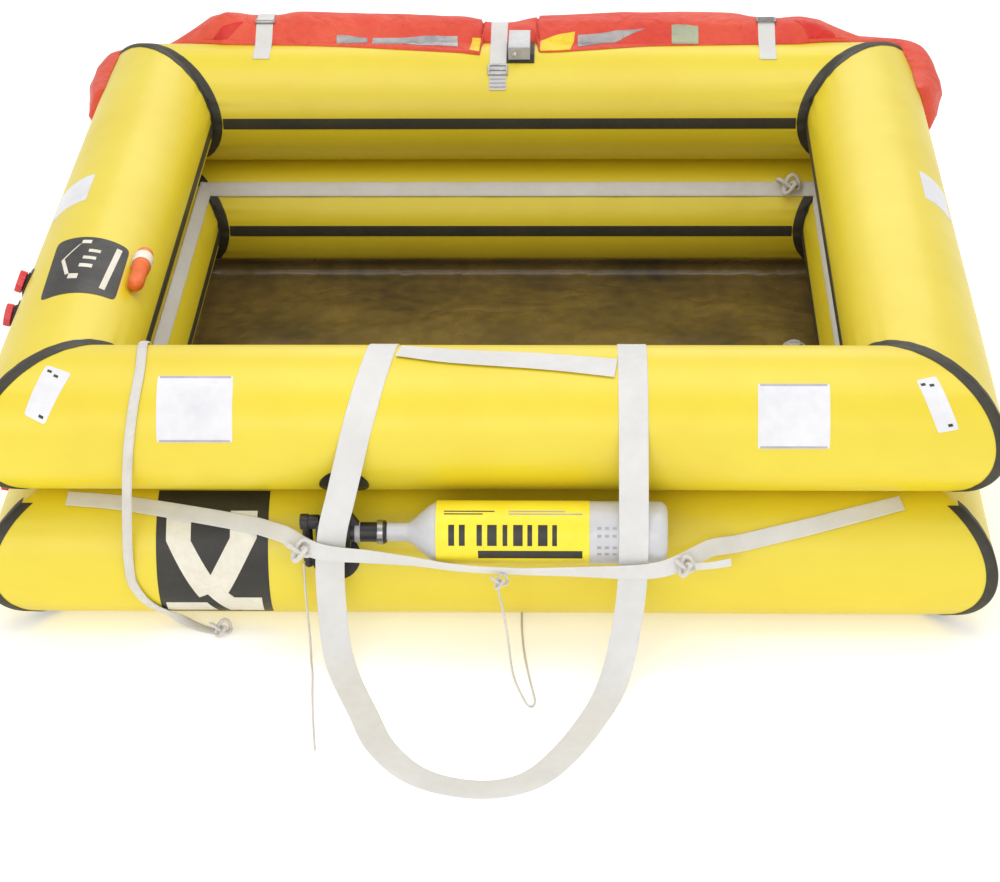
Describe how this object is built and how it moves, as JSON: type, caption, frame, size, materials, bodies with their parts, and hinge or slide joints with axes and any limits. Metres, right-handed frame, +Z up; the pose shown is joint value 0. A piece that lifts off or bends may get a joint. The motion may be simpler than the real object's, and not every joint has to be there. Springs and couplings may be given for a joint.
{
  "type": "inflated coastal liferaft, stowed canopy",
  "caption": "Inflated rectangular coastal liferaft with stacked yellow rings, rolled orange canopy, gas cylinder and boarding strap",
  "frame": {"origin": "on the ground at the middle of the rings, under the floor sheet", "axes": "+X along the longer side, to the right for a viewer at the boarding side; +Y to the canopy side; +Z up"},
  "size_m": [1.8501, 2.2456, 0.5738],
  "materials": {
    "ring_fabric": "smooth coated fabric, pumped tight, faint sheen",
    "tape": "matt charcoal tape",
    "floor_fabric": "dark brown coated sheet, slightly glossy, creased",
    "white_plastic": "moulded, satin",
    "canopy_cloth": "orange coated cloth, rolled and creased",
    "webbing": "woven webbing, matt",
    "buckle_metal": "pressed steel, slightly worn",
    "clear_plastic": "clear moulding, glossy",
    "cylinder_paint": "light grey paint, satin",
    "label_vinyl": "printed yellow vinyl",
    "black_fittings": "black moulded plastic and hose",
    "rope": "soft white rope",
    "red_plastic": "red moulding",
    "lamp_plastic": "orange moulding"
  },
  "bodies": {
    "raft": {"upper_buoyancy_tube": "ring_fabric", "lower_buoyancy_tube": "ring_fabric", "upper_corner_tape_front_left": "tape", "upper_corner_tape_front_right": "tape", "upper_corner_tape_back_right": "tape", "upper_corner_tape_back_left": "tape", "upper_seam_tape_front": "tape", "upper_seam_tape_back": "tape", "upper_seam_tape_left": "tape", "upper_seam_tape_right": "tape", "lower_corner_tape_front_left": "tape", "lower_corner_tape_front_right": "tape", "lower_corner_tape_back_right": "tape", "lower_corner_tape_back_left": "tape", "lower_seam_tape_front": "tape", "lower_seam_tape_back": "tape", "lower_seam_tape_left": "tape", "lower_seam_tape_right": "tape", "floor_sheet": "floor_fabric", "floor_drain": "white_plastic", "light_box": "white_plastic", "lamp_band": "white_plastic", "stowed_canopy": "canopy_cloth", "canopy_strap_left": "webbing", "canopy_strap_centre": "webbing", "canopy_strap_right": "webbing", "boarding_strap": "webbing", "boarding_cross_strap": "webbing", "lifeline_front": "webbing", "lifeline_left": "webbing", "lifeline_right": "webbing", "lifeline_back": "webbing", "lifeline_inside": "webbing", "strap_buckle_left": "buckle_metal", "strap_buckle_centre": "buckle_metal", "strap_buckle_right": "buckle_metal", "light_bulb": "clear_plastic", "gas_cylinder": "cylinder_paint", "cylinder_label": "label_vinyl", "light_backing": "black_fittings", "firing_head": "black_fittings", "inlet_valve_upper": "black_fittings", "inlet_valve_lower": "black_fittings", "inlet_hose_upper": "black_fittings", "inlet_hose_lower": "black_fittings", "valve_body_upper_back": "black_fittings", "valve_body_upper_front": "black_fittings", "valve_body_lower": "black_fittings", "heaving_rope": "rope", "release_cord": "rope", "painter_tail": "rope", "locator_lamp": "lamp_plastic"},
    "valve_cap_upper_back": {"valve_cap_upper_back": "red_plastic"},
    "valve_cap_upper_front": {"valve_cap_upper_front": "red_plastic"},
    "valve_cap_lower": {"valve_cap_lower": "red_plastic"},
    "floor_drain_cap": {"floor_drain_cap": "white_plastic"},
    "pull_pin": {"pull_pin": "black_fittings"}
  },
  "joints": [
    {"name": "valve_cap_upper_back_turn", "type": "hinge", "parent": "raft", "child": "valve_cap_upper_back", "pos_m": [-0.87878, -0.285, 0.42661], "axis": [-0.9272, 0, 0.3746], "range_deg": [0, 90]},
    {"name": "valve_cap_upper_front_turn", "type": "hinge", "parent": "raft", "child": "valve_cap_upper_front", "pos_m": [-0.88453, -0.388, 0.4089], "axis": [-0.9703, 0, 0.2419], "range_deg": [0, 90]},
    {"name": "valve_cap_lower_turn", "type": "hinge", "parent": "raft", "child": "valve_cap_lower", "pos_m": [-0.88647, -0.539, 0.14948], "axis": [-0.9848, 0, 0.1736], "range_deg": [0, 90]},
    {"name": "drain_cap_turn", "type": "hinge", "parent": "raft", "child": "floor_drain_cap", "pos_m": [0.6, 0.29, 0.0071], "axis": [0, 0, 1], "range_deg": [0, 90]},
    {"name": "pull_pin_slide", "type": "slide", "parent": "raft", "child": "pull_pin", "axis": [0, 0, -1], "range_m": [0, 0.02]}
  ]
}
